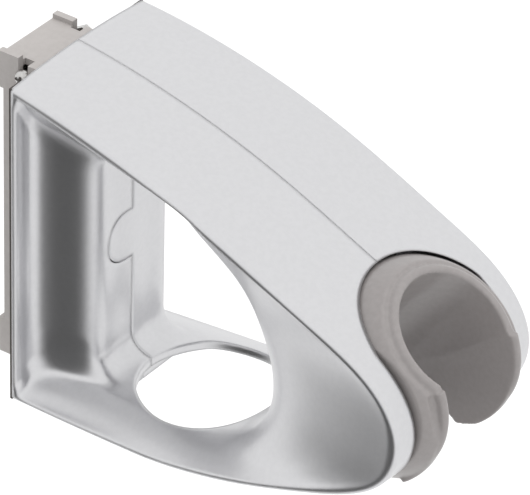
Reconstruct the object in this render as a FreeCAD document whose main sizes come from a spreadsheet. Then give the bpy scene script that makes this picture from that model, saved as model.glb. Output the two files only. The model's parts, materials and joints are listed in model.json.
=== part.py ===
"""Hand shower holder: a loop-shaped body in two halves, a tilting cradle and a wall bracket.

Frame: +X to the right seen from the front, -Y out of the wall, +Z up, millimetres.
The origin is the centre of the wall bracket's wall face.
Body coordinates used below: d is the depth out from the body's back plane, h the height above its foot.
"""
import FreeCAD, Part
import math
import os
import re
from FreeCAD import Vector as V

os.makedirs("parts", exist_ok=True)
doc = FreeCAD.newDocument("shower_holder")

# Driving dimensions, millimetres and degrees
SIZES = [
    # body
    ("body_height", 73.1),          # back plane, foot to crown
    ("body_reach", 93.4),           # back plane to the tip of the nose
    ("half_width_back", 21.0),      # side edge at the wall end
    ("half_width_belly", 23.1),     # side edge where the body is widest
    ("belly_depth", 55.0),          # depth of the widest place
    ("half_width_nose", 22.5),      # side edge at the nose
    ("skin_crown", 1.1),            # how far the outer skin is domed across its width
    ("edge_round", 1.0),            # rounding of the skin's long side edges
    ("foot_rise", 1.2),             # the foot rises by this to where its underside turns up
    ("lip_thickness", 1.2),         # thin rim left at the side edges
    ("column_depth", 13.5),         # thickness of the upright at the wall
    ("crown_half_width", 11.0),     # narrow inner faces of the loop
    ("upright_dome", 0.3),          # how far the upright's inner face falls back from the middle plane
    ("roof_height", 58.6),          # narrow outline at the upright, above the foot
    ("roof_slope", 0.24),           # fall of the loop's roof there, per unit of depth
    ("floor_height", 6.3),
    ("loop_corner", 5.0),           # inside corners of the loop at the upright
    ("rim_corner", 2.4),            # the same at the side edges
    ("seam_gap", 0.24),             # joint line between the two halves
    # hole in the floor of the loop
    ("floor_hole_dia", 30.6),
    ("floor_hole_depth", 33.8),
    # recess under the foot that leaves a thin sheet round the hole
    ("floor_sheet", 2.0),
    ("recess_margin", 1.5),         # recess to the side edge at its narrowest
    ("recess_back", 16.5),
    ("recess_front", 51.0),
    # tongue of the right half that laps over the left half
    ("tongue_radius", 5.4),
    ("tongue_reach", 2.2),
    ("tongue_height", 34.2),
    ("tongue_thickness", 1.6),
    ("tongue_gap", 0.25),
    # hollow behind the upright for the bracket
    ("hollow_depth", 10.0),
    ("hollow_side_gap", 0.3),
    ("hollow_floor", 6.3),
    # wall bracket
    ("wall_gap", 12.2),             # wall to the body's back plane
    ("bracket_half_width", 9.3),
    ("bracket_wall", 1.5),
    ("bracket_height", 70.0),
    ("wall_mid", 35.5),             # middle of the bracket above the body's foot
    ("bracket_front", 7.5),         # how far the flanges reach into the body
    ("flange_shoulder", 68.1),      # flange height inside the body
    ("shoulder_depth", 5.0),        # where the flange steps up, behind the back plane
    ("web_drop", 1.0),              # web top below the flange top
    ("foot_relief", 1.2),           # the middle stands off the wall by this
    ("foot_height", 8.2),
    ("foot_clearance", 0.9),        # bracket foot behind the body's back plane
    ("tab_height", 8.4),            # top of the tab that the set screw meets
    ("slot_width", 2.3),
    ("wall_hole_dia", 4.5),
    ("wall_hole_spacing", 40.0),
    ("wall_boss_dia", 9.0),         # round seats of the wall screws
    # cross bolt through the flanges
    ("bolt_dia", 2.2),
    ("bolt_head_dia", 3.6),
    ("bolt_head_height", 1.4),
    ("bolt_height", 66.35),
    ("nut_width", 4.4),
    ("nut_thickness", 1.6),
    # set screw in the foot of the body
    ("set_screw_dia", 4.0),
    ("set_screw_length", 5.6),
    ("set_screw_depth", 4.0),
    # back seal
    ("seal_thickness", 0.55),
    ("seal_width", 2.4),
    ("seal_inset", 0.15),
    # cradle
    ("pivot_depth", 79.2),
    ("pivot_height", 30.1),
    ("cradle_tilt", 40.5),          # mouth axis leans out of the wall by this
    ("ball_radius", 21.4),
    ("ball_gap", 0.6),
    ("cheek_half_width", 16.2),
    ("cheek_gap", 0.9),
    ("mouth_rise", 14.6),           # pivot to the mouth plane, along the mouth axis
    ("mouth_radius", 12.5),
    ("throat_radius", 10.8),
    ("cradle_drop", 11.0),          # pivot to the cradle's lower face
    ("slot_half_width", 11.1),
    ("jaw_radius", 25.6),           # round front of the jaws, seen from the side
    ("jaw_back", 8.3),              # middle of that curve, behind and below the pivot
    ("jaw_below", 3.5),
    ("jaw_bead_inset", 0.6),        # bead's middle inside that curve
    ("back_flat", 13.6),
    ("back_step", 5.3),
    ("bead_radius", 1.1),           # raised bead round the mouth
    ("bead_offset", 0.9),           # bead's middle outside the bore
    ("bead_lift", 0.15),            # bead's middle above the mouth plane
    ("cavity_back", 61.0),          # the cradle's room ends here, behind is the loop's front wall
    ("hose_exit_depth", 62.5),      # back end of the exit below the cradle
    ("hose_exit_half_width", 10.0),
    # pivot
    ("pin_dia", 4.0),
    ("pin_length", 6.2),
    ("pin_inner", 13.0),            # inner end of the pin, from the middle plane
    ("pin_clearance", 0.04),
    ("washer_dia", 9.0),
    ("washer_thickness", 0.8),
    # pegs between the halves
    ("peg_dia", 3.0),
    ("peg_length", 6.0),
    ("peg_top_depth", 38.0),
    ("peg_top_height", 57.0),
    ("peg_foot_depth", 14.2),
    ("peg_foot_height", 3.2),
    ("peg_nose_depth", 56.0),
    ("peg_nose_height", 9.0),
]

sheet = doc.addObject("Spreadsheet::Sheet", "Sizes")
for row, (name, value) in enumerate(SIZES, start=1):
    sheet.set(f"A{row}", name)
    sheet.set(f"B{row}", str(value))
    sheet.setAlias(f"B{row}", name)
doc.recompute()
NAMES = {name for name, value in SIZES}


def size(name):
    """One driving dimension as a plain number."""
    return float(getattr(sheet, name))


def bind(obj, **texts):
    """Bind properties to formulas written with the sheet's names; Base_x stands for Placement.Base.x."""
    for prop, text in texts.items():
        formula = re.sub(r"[a-z_]+", lambda word: "Sizes." + word[0] if word[0] in NAMES else word[0], text)
        obj.setExpression(prop.replace("Base_", "Placement.Base."), formula)
    return obj


def block(name, x, d, h):
    """Box between pairs of side, depth and height formulas."""
    obj = doc.addObject("Part::Box", name)
    return bind(obj, Length=f"({x[1]}) - ({x[0]})", Width=f"({d[1]}) - ({d[0]})",
                Height=f"({h[1]}) - ({h[0]})", Base_x=x[0],
                Base_y=f"-({d[1]}) - wall_gap", Base_z=f"{h[0]} - wall_mid")


TURNS = {
    "x": FreeCAD.Rotation(V(0, 1, 0), 90),
    "out": FreeCAD.Rotation(V(1, 0, 0), 90),
    "up": FreeCAD.Rotation(),
}


def rod(name, along, dia, length, x, d, h, kind="Part::Cylinder"):
    """Cylinder that starts at a place and runs to +X, out of the wall or up."""
    obj = doc.addObject(kind, name)
    obj.Placement = FreeCAD.Placement(V(0, 0, 0), TURNS[along])
    bind(obj, Base_x=x, Base_y=f"-({d}) - wall_gap", Base_z=f"{h} - wall_mid")
    if kind == "Part::Cylinder":
        bind(obj, Radius=f"({dia}) / 2", Height=length)
    return obj


def cut(name, base, tool):
    obj = doc.addObject("Part::Cut", name)
    obj.Base = base
    obj.Tool = tool
    return obj


def common(name, first, second):
    obj = doc.addObject("Part::Common", name)
    obj.Base = first
    obj.Tool = second
    return obj


def join(name, base, tool):
    obj = doc.addObject("Part::Fuse", name)
    obj.Base = base
    obj.Tool = tool
    return obj


def fuse(name, *parts):
    obj = doc.addObject("Part::MultiFuse", name)
    obj.Shapes = list(parts)
    return obj


wall_gap = size("wall_gap")
mid_height = size("wall_mid")


def at(x, d, h):
    """Point given by side, depth out of the body's back plane and height above its foot."""
    return V(x, -(d + wall_gap), h - mid_height)


def feature(name, shape):
    """Document object that carries a free-form shape."""
    obj = doc.addObject("Part::Feature", name)
    obj.Shape = shape
    obj.Placement = FreeCAD.Placement()
    return obj


# Outer skin: side profile on the middle plane as shares of reach and height, from the crown of the back
# edge round the nose to where the foot turns up
height = size("body_height")
reach = size("body_reach")
SKIN = [
    (0.0, 1.0), (0.232, 0.947), (0.517, 0.832), (0.770, 0.688), (0.931, 0.568), (0.998, 0.41),
    (0.955, 0.259), (0.888, 0.198), (0.760, 0.133), (0.595, 0.069), (0.475, 0.036),
]
FOOT_TURN = 0.353


def stations(points):
    """Running length along a row of points, as shares of the whole."""
    steps = [0.0]
    for before, after in zip(points, points[1:]):
        steps.append(steps[-1] + math.dist(before, after))
    return [step / steps[-1] for step in steps]


def inward(points, index):
    """Unit direction from a point of a clockwise outline to its inside, as depth and height."""
    before = points[max(index - 1, 0)]
    after = points[min(index + 1, len(points) - 1)]
    run_d, run_h = after[0] - before[0], after[1] - before[1]
    length = math.hypot(run_d, run_h)
    return run_h / length, -run_d / length


def skin_points(x):
    """Outer profile at side position x: the upper side and the nose fall away from the middle plane."""
    fall = size("skin_crown") * (x / size("half_width_back")) ** 2
    points = [(d * reach, h * height) for d, h in SKIN] + [(FOOT_TURN * reach, size("foot_rise"))]
    moved = []
    for index, (d, h) in enumerate(points):
        in_d, in_h = inward(points, index)
        drop = fall * min(1, max(0, 1 - in_h))
        if index == 0:
            moved.append((0.0, h - fall))
        else:
            moved.append((d + in_d * drop, h + in_h * drop if index < len(SKIN) else h))
    return moved


def skin_section(x):
    """Closed outer outline at side position x."""
    points = [at(x, d, h) for d, h in skin_points(x)]
    curve = Part.BSplineCurve()
    curve.interpolate(Points=points, Parameters=stations(skin_points(0)))
    heel = at(x, 0, 0)
    return Part.Wire([curve.toShape(), Part.makeLine(points[-1], heel), Part.makeLine(heel, points[0])])


def half_width(d):
    """Side edge of the body at depth d: a parabola through the back, the belly and the nose."""
    back, belly, nose = size("half_width_back"), size("half_width_belly"), size("half_width_nose")
    middle = size("belly_depth")
    return (back * (d - middle) * (d - reach) / (middle * reach)
            + belly * d * (d - reach) / (middle * (middle - reach))
            + nose * d * (d - middle) / (reach * (reach - middle)))


def outer_body():
    """Crowned skin cut to the barrel-shaped plan, with rolled side edges."""
    far = size("half_width_belly") + 2
    skin_shape = Part.makeLoft([skin_section(far * step / 2) for step in (-2, -1, 0, 1, 2)], True, False)
    past = reach + 6
    below = -10

    def side(sign):
        curve = Part.BSplineCurve()
        curve.interpolate([at(sign * half_width(d), d, below) for d in (0, past / 2, past)])
        return curve.toShape()

    rear = Part.makeLine(at(-half_width(0), 0, below), at(half_width(0), 0, below))
    front = Part.makeLine(at(-half_width(past), past, below), at(half_width(past), past, below))
    plan = Part.Wire(Part.__sortEdges__([rear, side(1), front, side(-1)]))
    prism = Part.Face(plan).extrude(V(0, 0, height - 2 * below))
    blank = skin_shape.common(prism)
    long_edges = [edge for edge in blank.Edges
                  if edge.BoundBox.YLength > reach / 4 and abs(edge.CenterOfMass.x) > half_width(0) - 1]
    return blank.makeFillet(size("edge_round"), long_edges)


# Outside the side edge the loop's sides run on at this part of their slope
PAST_RIM = 0.25


def share(u, near, far):
    """Share of the way from the rim (0) to the narrow outline (1) at u, 0 at the web and 1 at the edge."""
    rest = 1 - max(u, 0) ** near
    return rest ** far if rest > 0 else rest * PAST_RIM


# How the loop's sides run from the narrow outline to the rim
HOLLOW = (2.3, 16.0)
SLOPE = (1.1, 1.0)
SKIRT = (1.5, 1.1)
BULGE = (2.8, 1.0)

# Narrow outline of the loop as depth and height, how far along the rim the matching place lies, and
# the run of the side there
ARCH = [
    ((26.0, 55.4), 0.155, SLOPE),
    ((36.0, 51.9), 0.235, (1.3, 1.0)),
    ((44.5, 47.0), 0.31, (1.8, 1.0)),
    ((50.6, 41.2), 0.40, (2.3, 1.0)),
    ((54.7, 34.4), 0.475, BULGE),
    ((56.9, 27.0), 0.545, BULGE),
    ((56.8, 19.5), 0.59, BULGE),
    ((53.0, 12.5), 0.645, (2.4, 1.0)),
    ((46.0, 7.9), 0.72, (1.7, 1.0)),
    ((36.0, 6.9), 0.80, (1.5, 1.0)),
    ((26.0, 6.7), 0.875, SKIRT),
]


RIM_STEPS = 200


def rim_line():
    """Places just inside the side edge's rim, evenly spaced from the back round the nose to the heel."""
    curve = Part.BSplineCurve()
    edge_x = size("half_width_back")
    ends = skin_points(edge_x)
    curve.interpolate([V(0, d, h) for d, h in ends])
    foot = Part.makeLine(V(0, ends[-1][0], ends[-1][1]), V(0, 0, 0))
    places = Part.Wire([curve.toShape(), foot]).discretize(Number=RIM_STEPS + 1)
    flat = [(place.y, place.z) for place in places]
    lip = size("lip_thickness")
    line = []
    for index, (d, h) in enumerate(flat):
        in_d, in_h = inward(flat, index)
        line.append((d + in_d * lip, h + in_h * lip))
    return line


RIM = rim_line()


def loop_points(x):
    """Row of points round the loop at side position x, from the upright over the nose back to the upright."""
    web = size("crown_half_width")
    lip = size("lip_thickness")
    least = size("rim_corner")

    def blend(inner, rim, run, depth):
        part = share((abs(x) - web) / (half_width(depth) - web), *run)
        return rim + (inner - rim) * part

    upright = blend(size("column_depth"), lip, HOLLOW, 0) - size("upright_dome") * min(abs(x) / web, 1) ** 2
    roof = blend(size("roof_height"), height - size("skin_crown") - lip, SLOPE, 0)
    floor = blend(size("floor_height"), lip, SKIRT, 0)
    corner = max(blend(size("loop_corner"), least, SLOPE, 0), least / 2)
    bend = corner * (1 - math.sqrt(0.5))
    points = [(upright, roof - corner), (upright + bend, roof - bend),
              (upright + corner, roof - size("roof_slope") * corner)]
    for inner, station, run in ARCH:
        rim = RIM[round(station * RIM_STEPS)]
        points.append((blend(inner[0], rim[0], run, rim[0]), blend(inner[1], rim[1], run, rim[0])))
    return points + [(upright + corner, floor), (upright + bend, floor + bend), (upright, floor + corner)]


def loop_section(x):
    """Closed outline of the loop opening at side position x: straight at the upright, curved round the nose."""
    places = [at(x, d, h) for d, h in loop_points(x)]
    curve = Part.BSplineCurve()
    curve.interpolate(Points=places, Parameters=stations(loop_points(0)))
    return Part.Wire([curve.toShape(), Part.makeLine(places[-1], places[0])])


def loop_opening():
    """Bell-mouthed tool that cuts the loop."""
    web = size("crown_half_width")
    far = size("half_width_belly") + 1
    levels = [0, web * 0.6, web]
    steps = 7
    levels += [web + (far - web) * step / steps for step in range(1, steps + 1)]
    levels = [-x for x in reversed(levels[1:])] + levels
    return Part.makeLoft([loop_section(x) for x in levels], True, False)


# Whole body before it is split
skin = feature("Skin", outer_body())
opening = feature("LoopOpening", loop_opening())
loop = cut("LoopBody", skin, opening)

floor_hole = rod("FloorHole", "up", "floor_hole_dia", "body_height / 3", "0", "floor_hole_depth", "-1")
half_hollow = "bracket_half_width + hollow_side_gap"
hollow = block("BracketHollow", (f"-({half_hollow})", half_hollow), ("-1", "hollow_depth"),
               ("hollow_floor", "flange_shoulder"))
screw_hole = rod("SetScrewHole", "up", "set_screw_dia + 2 * pin_clearance", "hollow_floor + 2", "0",
                 "set_screw_depth", "-1")

# Room for the cradle: a ball with flat sides, a flat back and an exit for the hose below
room_ball = doc.addObject("Part::Sphere", "RoomBall")
bind(room_ball, Radius="ball_radius + ball_gap", Base_x="0", Base_y="-pivot_depth - wall_gap",
     Base_z="pivot_height - wall_mid")
half_room = "cheek_half_width + cheek_gap"
room_sides = block("RoomSides", (f"-({half_room})", half_room), ("cavity_back", "body_reach + 20"),
                   ("-5", "body_height"))
room = common("Room", room_ball, room_sides)
exit_round = rod("HoseExitRound", "up", "2 * hose_exit_half_width", "pivot_height", "0",
                 "hose_exit_depth + hose_exit_half_width", "-5")
exit_front = block("HoseExitFront", ("-hose_exit_half_width", "hose_exit_half_width"),
                   ("hose_exit_depth + hose_exit_half_width", "pivot_depth"), ("-5", "pivot_height - 5"))
pin_holes = []
for side_name, sign in (("Left", "-"), ("Right", "")):
    start_x = "-(pin_inner + pin_length)" if sign else "pin_inner"
    pin_holes.append(rod(side_name + "PinHole", "x", "pin_dia + 2 * pin_clearance", "pin_length",
                         start_x, "pivot_depth", "pivot_height"))
under_floor = feature("UnderFloor", opening.Shape)
bind(under_floor, Base_z="-floor_sheet")
recess_side = "min(half_width_back; half_width_belly) - recess_margin"
recess = cut("UnderRecess", block("RecessBlock", (f"-({recess_side})", recess_side),
                                  ("recess_back", "recess_front"), ("-1", "loop_corner + floor_height")),
             under_floor)
voids = fuse("Voids", floor_hole, hollow, screw_hole, room, exit_round, exit_front, recess, *pin_holes)
whole = cut("WholeBody", loop, voids)

# Right half with its tongue and pegs, left half with their pockets
tongue_front = "column_depth - tongue_thickness"


def tongue(name, grow):
    """Round-ended tab across the joint on the inner face of the upright."""
    disc = rod(name + "Disc", "out", f"2 * (tongue_radius + {grow})", "tongue_thickness * 3",
               "-tongue_reach", f"{tongue_front} - {grow}", "tongue_height")
    neck = block(name + "Neck", ("-tongue_reach", "1"),
                 (f"{tongue_front} - {grow}", f"{tongue_front} - {grow} + tongue_thickness * 3"),
                 (f"tongue_height - tongue_radius - {grow}", f"tongue_height + tongue_radius + {grow}"))
    return fuse(name, disc, neck)


PEGS = (("Top", "peg_top_depth", "peg_top_height"), ("Foot", "peg_foot_depth", "peg_foot_height"),
        ("Nose", "peg_nose_depth", "peg_nose_height"))


def pegs(name, grow):
    """Moulded pegs that line the halves up."""
    return [rod(name + place, "x", f"peg_dia + 2 * {grow}", f"peg_length + 2 + {grow}",
                f"-peg_length - {grow}", d, h) for place, d, h in PEGS]


tab = common("TongueTab", whole, tongue("Tongue", "0"))
far_x = "half_width_belly + 5"
right_side = block("RightSide", ("seam_gap / 2", far_x), ("-5", "body_reach + 5"), ("-5", "body_height + 5"))
left_side = block("LeftSide", (f"-({far_x})", "-seam_gap / 2"), ("-5", "body_reach + 5"),
                  ("-5", "body_height + 5"))
right_half = common("RightHalf", whole, right_side)
grown = join("RightWithTongue", right_half, tab)
for number, peg in enumerate(pegs("Peg", "0"), start=1):
    last = number == len(PEGS)
    grown = join("right_shell" if last else f"RightWithPeg{number}", grown, peg)
right_shell = grown
left_half = common("LeftHalf", whole, left_side)
pockets = fuse("Pockets", tongue("TonguePocket", "tongue_gap"), *pegs("Socket", "pin_clearance"))
left_shell = cut("left_shell", left_half, pockets)

# Wall bracket: a channel with two feet on the wall and open slots for the cross bolt
bracket_foot = "wall_mid - bracket_height / 2"
bracket_top = "wall_mid + bracket_height / 2"
outer_channel = block("Channel", ("-bracket_half_width", "bracket_half_width"), ("-wall_gap", "bracket_front"),
                      (bracket_foot, bracket_top))
web_front = "-wall_gap + foot_relief + bracket_wall"
inside = "bracket_half_width - bracket_wall"
channel_room = block("ChannelRoom", (f"-({inside})", inside), (web_front, "bracket_front + 1"),
                     (f"{bracket_foot} - 1", f"{bracket_top} + 1"))
web_notch = block("WebNotch", (f"-({inside})", inside), ("-wall_gap - 1", "bracket_front + 1"),
                  (f"{bracket_top} - web_drop", f"{bracket_top} + 1"))
relief = block("WallRelief", (f"-({far_x})", far_x), ("-wall_gap - 1", "-wall_gap + foot_relief"),
               (f"{bracket_foot} + foot_height", f"{bracket_top} - foot_height"))
shoulder = block("Shoulder", (f"-({far_x})", far_x), ("-shoulder_depth - slot_width", "bracket_front + 1"),
                 ("flange_shoulder", f"{bracket_top} + 1"))
underside = block("Underside", (f"-({far_x})", far_x), ("-foot_clearance", "bracket_front + 1"),
                  (f"{bracket_foot} - 1", "tab_height - bracket_wall"))
bolt_slot = block("BoltSlot", (f"-({far_x})", far_x), ("-shoulder_depth - slot_width", "-shoulder_depth"),
                  ("bolt_height", f"{bracket_top} + 1"))
bolt_seat = rod("BoltSeat", "x", "slot_width", f"2 * ({far_x})", f"-({far_x})",
                "-shoulder_depth - slot_width / 2", "bolt_height")
wall_holes = [rod(f"WallHole{n}", "out", "wall_hole_dia", "wall_gap", "0", "-wall_gap - 1",
                  f"wall_mid + {sign} * wall_hole_spacing / 2") for n, sign in ((1, 1), (2, -1))]
wall_bosses = [rod(f"WallBoss{n}", "out", "wall_boss_dia", "foot_relief + bracket_wall", "0", "-wall_gap",
                   f"wall_mid + {sign} * wall_hole_spacing / 2") for n, sign in ((1, 1), (2, -1))]
blank = cut("ChannelBlank", outer_channel, fuse("ChannelCuts", channel_room, web_notch, relief, shoulder,
                                                underside, bolt_slot, bolt_seat))
screw_tab = block("ScrewTab", (f"-({inside})", inside), ("-foot_clearance", "bracket_front"),
                  ("tab_height - bracket_wall", "tab_height"))
wall_bracket = cut("wall_bracket", fuse("BracketBody", blank, screw_tab, *wall_bosses),
                   fuse("WallHoles", *wall_holes))

# Cross bolt and nut
bolt_place = ("-shoulder_depth - slot_width / 2", "bolt_height")
shank = rod("Shank", "x", "bolt_dia", "2 * bracket_half_width + nut_thickness + 1", "-bracket_half_width",
            *bolt_place)
head = rod("BoltHead", "x", "bolt_head_dia", "bolt_head_height", "-bracket_half_width - bolt_head_height",
           *bolt_place)
recess = rod("BoltRecess", "x", "bolt_head_dia * 0.45", "bolt_head_height * 0.6",
             "-bracket_half_width - bolt_head_height", *bolt_place)
cross_bolt = cut("cross_bolt", fuse("BoltBlank", shank, head), recess)
hexagon = rod("Hexagon", "x", "", "", "bracket_half_width", *bolt_place, kind="Part::Prism")
hexagon.Polygon = 6
bind(hexagon, Circumradius="nut_width / sqrt(3)", Height="nut_thickness")
nut_bore = rod("NutBore", "x", "bolt_dia + 2 * pin_clearance", "nut_thickness + 2", "bracket_half_width - 1",
               *bolt_place)
cross_nut = cut("cross_nut", hexagon, nut_bore)

# Set screw that lifts against the bracket's tab
screw_body = rod("ScrewBody", "up", "set_screw_dia", "set_screw_length", "0", "set_screw_depth",
                 "tab_height - bracket_wall - set_screw_length")
socket = rod("ScrewSocket", "up", "", "", "0", "set_screw_depth",
             "tab_height - bracket_wall - set_screw_length", kind="Part::Prism")
socket.Polygon = 6
bind(socket, Circumradius="set_screw_dia / 4 / cos(30)", Height="set_screw_length / 3")
set_screw = cut("set_screw", screw_body, socket)

# Seal on the back edge
seal_side = "half_width_back - seal_inset"
seal_top = "body_height - skin_crown - seal_inset"
seal_plate = block("SealPlate", (f"-({seal_side})", seal_side), ("-seal_thickness", "0"), ("seal_inset", seal_top))
seal_window = block("SealWindow", (f"-({seal_side} - seal_width)", f"{seal_side} - seal_width"),
                    ("-seal_thickness - 1", "1"),
                    ("seal_inset + seal_width", f"{seal_top} - seal_width"))
back_seal = cut("back_seal", seal_plate, seal_window)

# Cradle, drawn about its pivot with the mouth axis upright and -Y to the front, then tilted
def local_block(name, x, y, z):
    obj = doc.addObject("Part::Box", name)
    return bind(obj, Length=f"({x[1]}) - ({x[0]})", Width=f"({y[1]}) - ({y[0]})",
                Height=f"({z[1]}) - ({z[0]})", Base_x=x[0], Base_y=y[0], Base_z=z[0])


def turned_cradle():
    """Ball with a conical bore and a bead round the mouth, turned about the mouth axis."""
    radius = size("ball_radius")
    top = size("mouth_rise")
    bottom = -size("cradle_drop")
    mouth = size("mouth_radius")
    bead = size("bead_radius")
    middle = mouth + size("bead_offset")
    lift = top + size("bead_lift")
    outer_foot = middle + math.sqrt(bead ** 2 - size("bead_lift") ** 2)
    inner_rise = lift + math.sqrt(bead ** 2 - size("bead_offset") ** 2)
    lower_outer = V(math.sqrt(radius ** 2 - bottom ** 2), 0, bottom)
    upper_outer = V(math.sqrt(radius ** 2 - top ** 2), 0, top)
    throat = V(size("throat_radius"), 0, bottom)
    crest = V(middle, 0, lift + bead)
    bead_out = V(outer_foot, 0, top)
    bead_in = V(mouth, 0, inner_rise)
    edges = [
        Part.Arc(lower_outer, V(radius, 0, 0), upper_outer).toShape(),
        Part.makeLine(upper_outer, bead_out),
        Part.Arc(bead_out, crest, bead_in).toShape(),
        Part.makeLine(bead_in, V(mouth, 0, top)),
        Part.makeLine(V(mouth, 0, top), throat),
        Part.makeLine(throat, lower_outer),
    ]
    return Part.Face(Part.Wire(edges)).revolve(V(0, 0, 0), V(0, 0, 1), 360)


turned = feature("CradleTurned", turned_cradle())
slab = local_block("CheekSlab", ("-cheek_half_width", "cheek_half_width"), ("-2 * ball_radius", "2 * ball_radius"),
                   ("-2 * ball_radius", "2 * ball_radius"))
back_low = local_block("BackFlat", ("-2 * ball_radius", "2 * ball_radius"), ("back_flat", "2 * ball_radius"),
                       ("-2 * ball_radius", "back_step"))
slot = local_block("JawSlot", ("-slot_half_width", "slot_half_width"), ("-2 * ball_radius", "0"),
                   ("-2 * ball_radius", "2 * ball_radius"))
pin_bore = doc.addObject("Part::Cylinder", "PinBore")
pin_bore.Placement = FreeCAD.Placement(V(0, 0, 0), TURNS["x"])
bind(pin_bore, Radius="pin_dia / 2 + pin_clearance", Height="4 * ball_radius", Base_x="-2 * ball_radius")
core = local_block("PinCore", ("-pin_inner", "pin_inner"), ("-pin_dia", "pin_dia"), ("-pin_dia", "pin_dia"))
pin_bores = cut("PinBores", pin_bore, core)
jaw_curve = doc.addObject("Part::Cylinder", "JawCurve")
jaw_curve.Placement = FreeCAD.Placement(V(0, 0, 0), TURNS["x"])
bind(jaw_curve, Radius="jaw_radius", Height="2 * cheek_half_width", Base_x="-cheek_half_width",
     Base_y="jaw_back", Base_z="-jaw_below")
cradle_sides = common("CradleSides", turned, slab)
beaded = common("CradleFront", cradle_sides, jaw_curve)

# The mouth's bead runs on down the edges of the slot
bead_span = local_block("JawBeadSpan", ("-cheek_half_width", "cheek_half_width"),
                        ("-2 * ball_radius", "-slot_half_width / 2"), ("-2 * jaw_below", "mouth_rise"))
for side_name, sign in (("Left", "-"), ("Right", "")):
    ring = doc.addObject("Part::Torus", side_name + "JawRing")
    ring.Placement = FreeCAD.Placement(V(0, 0, 0), TURNS["x"])
    bind(ring, Radius1="jaw_radius - jaw_bead_inset", Radius2="bead_radius", Base_y="jaw_back",
         Base_x=f"{sign}(slot_half_width + bead_offset)", Base_z="-jaw_below")
    beaded = join(side_name + "Beaded", beaded, common(side_name + "JawBead", ring, bead_span))
cradle = cut("cradle", beaded, fuse("CradleCuts", back_low, slot, pin_bores))
cradle.Placement = FreeCAD.Placement(V(0, 0, 0), FreeCAD.Rotation(V(1, 0, 0), size("cradle_tilt")))
bind(cradle, Base_y="-pivot_depth - wall_gap", Base_z="pivot_height - wall_mid")

# Pivot pins and friction washers
pivot = ("pivot_depth", "pivot_height")
left_pivot_pin = rod("left_pivot_pin", "x", "pin_dia", "pin_length", "-pin_inner - pin_length", *pivot)
right_pivot_pin = rod("right_pivot_pin", "x", "pin_dia", "pin_length", "pin_inner", *pivot)
washers = []
for side_name, start_x in (("left", f"-({half_room})"), ("right", f"{half_room} - washer_thickness")):
    disc = rod(side_name.title() + "WasherDisc", "x", "washer_dia", "washer_thickness", start_x, *pivot)
    hole = rod(side_name.title() + "WasherHole", "x", "pin_dia + 2 * pin_clearance", "washer_thickness",
               start_x, *pivot)
    washers.append(cut(side_name + "_friction_washer", disc, hole))

pieces = [wall_bracket, left_shell, right_shell, back_seal, cross_bolt, cross_nut, set_screw, cradle,
          left_pivot_pin, right_pivot_pin, *washers]
for piece in pieces:
    piece.Label = piece.Name

doc.recompute()
failed = [obj.Label for obj in doc.Objects if {"Invalid", "Error"} & set(obj.State)]
if failed:
    raise RuntimeError("objects failed to compute: " + ", ".join(failed))
for piece in pieces:
    if piece.Shape.isNull() or not piece.Shape.isValid():
        raise RuntimeError(piece.Label + " has no valid shape")
    if len(piece.Shape.Solids) != 1:
        raise RuntimeError(piece.Label + " isn't one solid")
for piece in pieces:
    piece.Shape.exportStep("parts/" + piece.Label + ".step")
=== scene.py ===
"""Looks of the hand shower holder: satin silver shells, warm grey cradle and bracket, soft studio light."""
import json
import math

import bmesh
import bpy
from mathutils import Matrix, Vector


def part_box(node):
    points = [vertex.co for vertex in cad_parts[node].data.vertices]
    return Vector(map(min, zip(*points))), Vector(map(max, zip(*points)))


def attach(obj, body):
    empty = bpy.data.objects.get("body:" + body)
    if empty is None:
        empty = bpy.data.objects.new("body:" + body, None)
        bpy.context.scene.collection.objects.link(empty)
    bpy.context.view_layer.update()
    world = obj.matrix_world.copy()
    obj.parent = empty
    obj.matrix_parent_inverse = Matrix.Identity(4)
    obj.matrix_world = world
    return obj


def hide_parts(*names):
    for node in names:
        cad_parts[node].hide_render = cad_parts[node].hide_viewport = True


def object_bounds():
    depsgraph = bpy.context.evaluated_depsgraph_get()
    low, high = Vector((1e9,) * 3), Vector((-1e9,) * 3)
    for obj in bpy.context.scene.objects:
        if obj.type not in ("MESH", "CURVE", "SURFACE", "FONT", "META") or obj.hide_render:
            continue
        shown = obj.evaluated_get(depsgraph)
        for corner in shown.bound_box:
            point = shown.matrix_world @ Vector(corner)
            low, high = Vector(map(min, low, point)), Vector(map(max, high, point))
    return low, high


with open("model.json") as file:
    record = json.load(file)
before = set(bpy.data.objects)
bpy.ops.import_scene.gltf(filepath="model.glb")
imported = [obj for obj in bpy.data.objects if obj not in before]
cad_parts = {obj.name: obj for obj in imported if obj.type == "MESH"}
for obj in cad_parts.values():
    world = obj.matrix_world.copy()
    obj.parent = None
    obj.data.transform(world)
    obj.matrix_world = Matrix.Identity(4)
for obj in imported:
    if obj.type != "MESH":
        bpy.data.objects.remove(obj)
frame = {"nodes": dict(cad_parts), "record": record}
cad_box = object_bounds()

# Photograph's frame in pixels and the camera that was fitted to it
IMAGE_WIDTH = 530
IMAGE_HEIGHT = 495
FOCAL_PIXELS = 5730.0
AIM_PIXEL = (275.31, 274.32)
AIM = Vector((0.0, -0.05993, 0.00268))
DISTANCE = 1.0977
AZIMUTH = math.radians(-55.016)
ELEVATION = math.radians(33.75)
ROLL = math.radians(1.54)
SENSOR = 36.0
FAR_CLIP = 20.0

MM = 0.001


# Surface grain, and the stretch of it over which two shades change places
GRAIN_DETAIL = 2.0
PLASTIC_GRAIN = 900.0
PLASTIC_BUMP = 0.03
PLASTIC_RELIEF = 0.1 * MM
SHADE_SPAN = (0.35, 0.65)
ROUNDING_SAMPLES = 8

# Upright's flanks inside the loop in metres, where the hollow runs smoothly
HOLLOW_ASIDE = (0.0115, 0.0165)
HOLLOW_DEEP = (-0.0260, -0.0165)
HOLLOW_TALL = (-0.0195, 0.0240)
HOLLOW_BLEND = 0.004
HOLLOW_SOFTEN = 0.006


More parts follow.
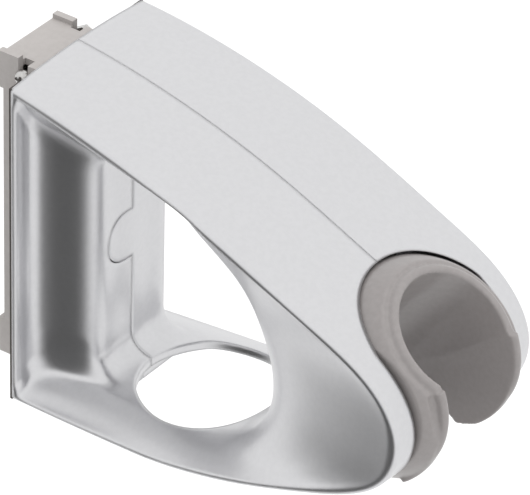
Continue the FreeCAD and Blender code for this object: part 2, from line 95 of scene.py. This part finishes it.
def node_material(name):
    """Empty material with its shader and output."""
    material = bpy.data.materials.new(name)
    material.use_nodes = True
    tree = material.node_tree
    return material, tree, tree.nodes["Principled BSDF"]


def add_grain(tree, shader, scale, strength, distance):
    """Fine surface texture on the shader's normal."""
    place = tree.nodes.new("ShaderNodeTexCoord")
    noise = tree.nodes.new("ShaderNodeTexNoise")
    noise.inputs["Scale"].default_value = scale
    noise.inputs["Detail"].default_value = GRAIN_DETAIL
    bump = tree.nodes.new("ShaderNodeBump")
    bump.inputs["Strength"].default_value = strength
    bump.inputs["Distance"].default_value = distance
    tree.links.new(place.outputs["Object"], noise.inputs["Vector"])
    tree.links.new(noise.outputs["Fac"], bump.inputs["Height"])
    tree.links.new(bump.outputs["Normal"], shader.inputs["Normal"])
    return noise, bump


def add_shades(tree, shader, noise, dark, light):
    """Base colour that wanders between two close shades."""
    ramp = tree.nodes.new("ShaderNodeValToRGB")
    for stop, position, colour in zip(ramp.color_ramp.elements, SHADE_SPAN, (dark, light)):
        stop.position = position
        stop.color = (*colour, 1.0)
    tree.links.new(noise.outputs["Fac"], ramp.inputs["Fac"])
    tree.links.new(ramp.outputs["Color"], shader.inputs["Base Color"])


def reach_of(tree, source, low, high, blend):
    """One where the source lies between low and high, and fading to nothing over blend outside them."""
    rise = tree.nodes.new("ShaderNodeMapRange")
    rise.interpolation_type = "SMOOTHSTEP"
    rise.inputs["From Min"].default_value = low - blend
    rise.inputs["From Max"].default_value = low
    fall = tree.nodes.new("ShaderNodeMapRange")
    fall.interpolation_type = "SMOOTHSTEP"
    fall.inputs["From Min"].default_value = high
    fall.inputs["From Max"].default_value = high + blend
    fall.inputs["To Min"].default_value = 1.0
    fall.inputs["To Max"].default_value = 0.0
    both = tree.nodes.new("ShaderNodeMath")
    both.operation = "MULTIPLY"
    tree.links.new(source, rise.inputs["Value"])
    tree.links.new(source, fall.inputs["Value"])
    tree.links.new(rise.outputs["Result"], both.inputs[0])
    tree.links.new(fall.outputs["Result"], both.inputs[1])
    return both.outputs["Value"]


def rounding_radius(tree, edge, hollow):
    """Radius that is edge everywhere but swells to hollow on the upright's flanks inside the loop."""
    place = tree.nodes.new("ShaderNodeTexCoord")
    axes = tree.nodes.new("ShaderNodeSeparateXYZ")
    aside = tree.nodes.new("ShaderNodeMath")
    aside.operation = "ABSOLUTE"
    tree.links.new(place.outputs["Object"], axes.inputs["Vector"])
    tree.links.new(axes.outputs["X"], aside.inputs[0])
    product = reach_of(tree, aside.outputs["Value"], *HOLLOW_ASIDE, HOLLOW_BLEND)
    for axis, span in (("Y", HOLLOW_DEEP), ("Z", HOLLOW_TALL)):
        both = tree.nodes.new("ShaderNodeMath")
        both.operation = "MULTIPLY"
        tree.links.new(product, both.inputs[0])
        tree.links.new(reach_of(tree, axes.outputs[axis], *span, HOLLOW_BLEND), both.inputs[1])
        product = both.outputs["Value"]
    radius = tree.nodes.new("ShaderNodeMapRange")
    radius.inputs["To Min"].default_value = edge
    radius.inputs["To Max"].default_value = hollow
    tree.links.new(product, radius.inputs["Value"])
    return radius.outputs["Result"]


def plastic(name, dark, light, roughness, metallic=0.0, coat=0.0, soften=0.0):
    """Moulded surface with a fine grain; soften is the radius over which creases are rounded."""
    material, tree, shader = node_material(name)
    shader.inputs["Metallic"].default_value = metallic
    shader.inputs["Roughness"].default_value = roughness
    shader.inputs["Coat Weight"].default_value = coat
    noise, bump = add_grain(tree, shader, PLASTIC_GRAIN, PLASTIC_BUMP, PLASTIC_RELIEF)
    if soften:
        rounding = tree.nodes.new("ShaderNodeBevel")
        rounding.samples = ROUNDING_SAMPLES
        tree.links.new(rounding_radius(tree, soften, HOLLOW_SOFTEN), rounding.inputs["Radius"])
        tree.links.new(rounding.outputs["Normal"], bump.inputs["Normal"])
    add_shades(tree, shader, noise, dark, light)
    return material


silver = plastic("silver", (0.675, 0.675, 0.688), (0.695, 0.695, 0.708), 0.30, metallic=0.93,
                 soften=0.0012)
cradle_grey = plastic("cradle_grey", (0.238, 0.221, 0.217), (0.254, 0.236, 0.232), 0.32, coat=0.2)
bracket_grey = plastic("bracket_grey", (0.375, 0.353, 0.341), (0.395, 0.373, 0.361), 0.5)
steel = plastic("steel", (0.55, 0.54, 0.53), (0.65, 0.64, 0.63), 0.25, metallic=1.0)
# Black of the rubber seal, also used on the bolt head as painted shade of its cross recess
black_for_seal_and_recess_shade = plastic("seal", (0.045, 0.038, 0.034), (0.055, 0.047, 0.043), 0.7)
washer_pale = plastic("washer", (0.6, 0.6, 0.58), (0.65, 0.65, 0.63), 0.5)

DRESS = {
    "left_shell": silver,
    "right_shell": silver,
    "wall_bracket": bracket_grey,
    "cross_nut": steel,
    "set_screw": steel,
    "back_seal": black_for_seal_and_recess_shade,
    "left_pivot_pin": steel,
    "right_pivot_pin": steel,
    "left_friction_washer": washer_pale,
    "right_friction_washer": washer_pale,
}
for node, material in DRESS.items():
    for slot in frame["nodes"][node].material_slots:
        slot.material = material


def evaluated(obj, name):
    """New object with the mesh that obj's modifiers make; obj itself goes."""
    graph = bpy.context.evaluated_depsgraph_get()
    mesh = bpy.data.meshes.new_from_object(obj.evaluated_get(graph))
    made = bpy.data.objects.new(name, mesh)
    made.matrix_world = obj.matrix_world.copy()
    bpy.context.collection.objects.link(made)
    bpy.data.objects.remove(obj)
    return made


def merged(objects, name):
    """One mesh object from several, in the frame of the part."""
    data = bmesh.new()
    for obj in objects:
        mesh = obj.data.copy()
        mesh.transform(obj.matrix_world)
        data.from_mesh(mesh)
        bpy.data.objects.remove(obj)
    mesh = bpy.data.meshes.new(name)
    data.to_mesh(mesh)
    data.free()
    made = bpy.data.objects.new(name, mesh)
    bpy.context.collection.objects.link(made)
    return made


def smooth(obj):
    """Smooth shading on every face."""
    obj.data.polygons.foreach_set("use_smooth", [True] * len(obj.data.polygons))


def prism(outline, travel, name):
    """Solid between a flat outline and the same outline moved by travel."""
    data = bmesh.new()
    face = data.faces.new([data.verts.new(place) for place in outline])
    far_side = bmesh.ops.extrude_face_region(data, geom=[face])
    moved = [item for item in far_side["geom"] if isinstance(item, bmesh.types.BMVert)]
    bmesh.ops.translate(data, verts=moved, vec=travel)
    bmesh.ops.recalc_face_normals(data, faces=data.faces)
    mesh = bpy.data.meshes.new(name)
    data.to_mesh(mesh)
    data.free()
    made = bpy.data.objects.new(name, mesh)
    bpy.context.collection.objects.link(made)
    return made


ROD_FACETS = 6


def rod_along(points, radius, name):
    """Round rod through the points."""
    curve = bpy.data.curves.new(name, "CURVE")
    curve.dimensions = "3D"
    curve.bevel_depth = radius
    curve.bevel_resolution = ROD_FACETS
    curve.use_fill_caps = True
    line = curve.splines.new("POLY")
    line.points.add(len(points) - 1)
    for point, place in zip(line.points, points):
        point.co = (*place, 1.0)
    made = bpy.data.objects.new(name, curve)
    bpy.context.collection.objects.link(made)
    return evaluated(made, name)


# Cradle: the frame's solid with drawn-back jaws, soft edges, and a bead with a groove down the slot
TILT = frame["record"]["behaviour"]["joints"][0]
PIVOT = Vector(TILT["pos_m"])
MOUTH_LEAN = math.radians(40.5)
TO_PART = Matrix.Translation(PIVOT) @ Matrix.Rotation(MOUTH_LEAN, 4, "X")
JAW_RADIUS = 20.1 * MM
JAW_BACK = 2.7 * MM
JAW_BELOW = 2.5 * MM
JAW_TURN = math.radians(80.0)
JAW_STEPS = 60
ROOM = 60 * MM
SLOT_BEAD = 12.15 * MM
BEAD_RADIUS = 1.1 * MM
BEAD_STARTS = math.radians(62.0)
BEAD_ENDS = math.radians(10.0)
BEAD_SINK = 1.4 * MM
GROOVE_ASIDE = 2.05 * MM
GROOVE_PROUD = -0.1 * MM
GROOVE_ENDS = math.radians(24.0)
GROOVE_RISE = 1.5 * MM
BEAD_STEPS = 24
CAST_CELL = 0.28 * MM
CAST_PASSES = 7


def jaw_front(x, radius, angle):
    """Point on the jaws' rounded front; the angle is taken up from the level of the round's centre."""
    return TO_PART @ Vector((x, JAW_BACK - radius * math.cos(angle), radius * math.sin(angle) - JAW_BELOW))


def slot_rod(x, proud, rise, ends):
    """Rod down the jaws' front at x; proud is its start past the front and rise what it gains by its end."""
    path = []
    for step in range(BEAD_STEPS + 1):
        share = step / BEAD_STEPS
        angle = BEAD_STARTS + (ends - BEAD_STARTS) * share
        path.append(jaw_front(x, JAW_RADIUS + proud + rise * share ** 2, angle))
    return rod_along(path, BEAD_RADIUS, "slot_rod")


def trimmed_body():
    """Cradle of the frame without what stands ahead of the jaws' rounded front."""
    body = bpy.data.objects.new("cradle_body", frame["nodes"]["cradle"].data.copy())
    bpy.context.collection.objects.link(body)
    angles = [JAW_TURN * (1 - 2 * step / JAW_STEPS) for step in range(JAW_STEPS + 1)]
    outline = [jaw_front(-ROOM, JAW_RADIUS, angle) for angle in angles]
    behind = ((0.0, -ROOM), (ROOM, -ROOM), (ROOM, ROOM), (0.0, ROOM))
    outline += [TO_PART @ Vector((-ROOM, y, z)) for y, z in behind]
    reach = prism(outline, (2 * ROOM, 0.0, 0.0), "reach")
    grooves = [slot_rod(sign * (SLOT_BEAD + GROOVE_ASIDE), GROOVE_PROUD, GROOVE_RISE, GROOVE_ENDS)
               for sign in (-1, 1)]
    bpy.context.view_layer.update()
    for tool, operation in ((reach, "INTERSECT"), (grooves[0], "DIFFERENCE"), (grooves[1], "DIFFERENCE")):
        shaping = body.modifiers.new("shape", "BOOLEAN")
        shaping.operation = operation
        shaping.solver = "EXACT"
        shaping.object = tool
    trimmed = evaluated(body, "trimmed")
    for tool in (reach, *grooves):
        bpy.data.objects.remove(tool)
    return trimmed


def cradle_piece():
    """Moulded cradle."""
    beads = [slot_rod(sign * SLOT_BEAD, 0.0, -BEAD_SINK, BEAD_ENDS) for sign in (-1, 1)]
    cast = merged([trimmed_body(), *beads], "cast")
    grid = cast.modifiers.new("cells", "REMESH")
    grid.mode = "VOXEL"
    grid.voxel_size = CAST_CELL
    soft = cast.modifiers.new("soft", "SMOOTH")
    soft.factor = 0.5
    soft.iterations = CAST_PASSES
    cast = evaluated(cast, "cradle_moulded")
    smooth(cast)
    cast.data.materials.clear()
    cast.data.materials.append(cradle_grey)
    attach(cast, "cradle")
    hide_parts("cradle")


cradle_piece()

# Plate that closes the bracket's top between its ears, notched for the cross bolt
BRACKET_HIGH = Vector(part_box("wall_bracket")[1])
SEAL_HIGH = Vector(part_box("back_seal")[1])
WALL = 1.5 * MM
PLATE_DROP = 1.0 * MM
PLATE_THICKNESS = 1.4 * MM
PLATE_PROUD = 0.02 * MM
PLATE_PAST_SEAL = 0.1 * MM
EAR_REACH = 4.9 * MM
NOTCH = 2.3 * MM
NOTCH_DEEP = 2.2 * MM


def plate_piece():
    """Flat plate with two side notches."""
    inner = BRACKET_HIGH.x - WALL
    outer = BRACKET_HIGH.x
    front = SEAL_HIGH.y + PLATE_PAST_SEAL
    ear = -EAR_REACH
    slot_end = ear - NOTCH
    half = [(inner, 0.0), (inner, ear), (outer - NOTCH_DEEP, ear), (outer - NOTCH_DEEP, slot_end),
            (outer, slot_end), (outer, front)]
    outline = half + [(-x, y) for x, y in reversed(half)]
    top = BRACKET_HIGH.z - PLATE_DROP + PLATE_PROUD
    made = prism([(x, y, top) for x, y in outline], (0.0, 0.0, -PLATE_THICKNESS), "bracket_top_plate")
    made.data.materials.append(bracket_grey)
    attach(made, "holder")


plate_piece()

# Cross bolt with a domed head
BOLT_LOW, BOLT_HIGH = (Vector(corner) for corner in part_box("cross_bolt"))
HEAD_HEIGHT = 1.4 * MM
SHANK_RADIUS = 1.1 * MM
DOME_SEGMENTS = 48
DOME_RINGS = 24
# Black bars that paint the shade of the bolt's cross recess: depth of their middle, their size and their
# turns
RECESS_IN = 0.42 * MM
RECESS_SIZE = (0.8 * MM, 2.0 * MM, 0.45 * MM)
RECESS_TURNS = (20, 110)


def bolt_piece():
    """Bolt with a low dome, and black bars crossing its tip as painted shade of a cross recess."""
    middle = (BOLT_LOW + BOLT_HIGH) / 2
    head_radius = (BOLT_HIGH.z - BOLT_LOW.z) / 2
    head_base = (BOLT_LOW.x + HEAD_HEIGHT, middle.y, middle.z)
    shank = rod_along([head_base, (BOLT_HIGH.x, middle.y, middle.z)], SHANK_RADIUS, "shank")
    bpy.ops.mesh.primitive_uv_sphere_add(segments=DOME_SEGMENTS, ring_count=DOME_RINGS, radius=head_radius)
    dome = bpy.context.object
    dome.matrix_world = (Matrix.Translation(head_base)
                         @ Matrix.Diagonal((HEAD_HEIGHT / head_radius, 1.0, 1.0, 1.0)))
    bpy.context.view_layer.update()
    bolt = merged([shank, dome], "bolt")
    smooth(bolt)
    bolt.data.materials.append(steel)
    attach(bolt, "holder")
    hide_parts("cross_bolt")
    # Two black bars, sunk a little into the dome's tip, paint the shade of the cross recess
    for number, turn in enumerate(RECESS_TURNS, start=1):
        bpy.ops.mesh.primitive_cube_add(size=1.0)
        groove = bpy.context.object
        groove.name = f"bolt_recess_shade_{number}"
        groove.matrix_world = (Matrix.Translation((BOLT_LOW.x + RECESS_IN, middle.y, middle.z))
                               @ Matrix.Rotation(math.radians(turn), 4, "X")
                               @ Matrix.Diagonal((*RECESS_SIZE, 1.0)))
        groove.data.materials.append(black_for_seal_and_recess_shade)
        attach(groove, "holder")


bolt_piece()

# Camera
forward = Vector((math.sin(-AZIMUTH) * math.cos(ELEVATION), math.cos(-AZIMUTH) * math.cos(ELEVATION),
                  -math.sin(ELEVATION)))
level = Vector((math.cos(-AZIMUTH), -math.sin(-AZIMUTH), 0.0))
upward = level.cross(forward)
right = math.cos(ROLL) * level + math.sin(ROLL) * upward
up = -math.sin(ROLL) * level + math.cos(ROLL) * upward
camera_data = bpy.data.cameras.new("camera")
camera_data.sensor_width = SENSOR
camera_data.lens = FOCAL_PIXELS / IMAGE_WIDTH * SENSOR
camera_data.shift_x = (IMAGE_WIDTH / 2 - AIM_PIXEL[0]) / IMAGE_WIDTH
camera_data.shift_y = (AIM_PIXEL[1] - IMAGE_HEIGHT / 2) / IMAGE_WIDTH
camera_data.clip_end = FAR_CLIP
camera = bpy.data.objects.new("camera", camera_data)
bpy.context.collection.objects.link(camera)
turn = Matrix((right, up, -forward)).transposed().to_4x4()
camera.matrix_world = Matrix.Translation(AIM - forward * DISTANCE) @ turn
bpy.context.scene.camera = camera


def area_light(name, place, size, power):
    """Soft rectangular lamp that faces the part."""
    data = bpy.data.lights.new(name, "AREA")
    data.shape = "RECTANGLE"
    data.size = size[0]
    data.size_y = size[1]
    data.energy = power
    lamp = bpy.data.objects.new(name, data)
    bpy.context.collection.objects.link(lamp)
    lamp.location = place
    lamp.visible_glossy = False
    lamp.rotation_euler = (Vector(place) - AIM).to_track_quat("Z", "Y").to_euler()


area_light("top", (0.0, -0.25, 0.9), (1.2, 1.2), 5.5)
area_light("front", (0.5, -1.1, 0.25), (0.8, 0.8), 1.5)

# Studio walls: pale all round, with a dark side low on the left, behind the part
PALE = 1.0
DARK = 0.03
DARK_SIDE = Vector((-0.85, 0.20, -0.50)).normalized()
DARK_STARTS = 0.66
DARK_FULL = 0.96
world = bpy.data.worlds.new("studio")
bpy.context.scene.world = world
world.use_nodes = True
tree = world.node_tree
place = tree.nodes.new("ShaderNodeTexCoord")
nearness = tree.nodes.new("ShaderNodeVectorMath")
nearness.operation = "DOT_PRODUCT"
nearness.inputs[1].default_value = DARK_SIDE
fade = tree.nodes.new("ShaderNodeMapRange")
fade.interpolation_type = "SMOOTHSTEP"
fade.inputs["From Min"].default_value = DARK_STARTS
fade.inputs["From Max"].default_value = DARK_FULL
fade.inputs["To Min"].default_value = PALE
fade.inputs["To Max"].default_value = DARK
path = tree.nodes.new("ShaderNodeLightPath")
seen = tree.nodes.new("ShaderNodeMix")
seen.inputs["B"].default_value = 1.0
tree.links.new(place.outputs["Generated"], nearness.inputs[0])
tree.links.new(nearness.outputs["Value"], fade.inputs["Value"])
tree.links.new(fade.outputs["Result"], seen.inputs["A"])
tree.links.new(path.outputs["Is Camera Ray"], seen.inputs["Factor"])
tree.links.new(seen.outputs["Result"], tree.nodes["Background"].inputs["Strength"])
tree.nodes["Background"].inputs["Color"].default_value = (1.0, 1.0, 1.0, 1.0)

# Floor
FLOOR_GAP = 0.12
FLOOR_SIZE = 6.0
FLOOR_GRAIN = 30.0
FLOOR_BUMP = 0.02
FLOOR_RELIEF = 1.0 * MM
FLOOR_ROUGHNESS = 0.8
low = min(cad_box[0][2], cad_box[1][2]) - FLOOR_GAP
bpy.ops.mesh.primitive_plane_add(size=FLOOR_SIZE, location=(0.0, 0.0, low))
floor = bpy.context.object
floor.name = "floor"
floor.visible_glossy = False
pale, tree, shader = node_material("floor")
noise, _ = add_grain(tree, shader, FLOOR_GRAIN, FLOOR_BUMP, FLOOR_RELIEF)
add_shades(tree, shader, noise, (0.88, 0.88, 0.88), (0.91, 0.91, 0.91))
shader.inputs["Roughness"].default_value = FLOOR_ROUGHNESS
floor.data.materials.append(pale)

bpy.context.scene.view_settings.view_transform = "Standard"
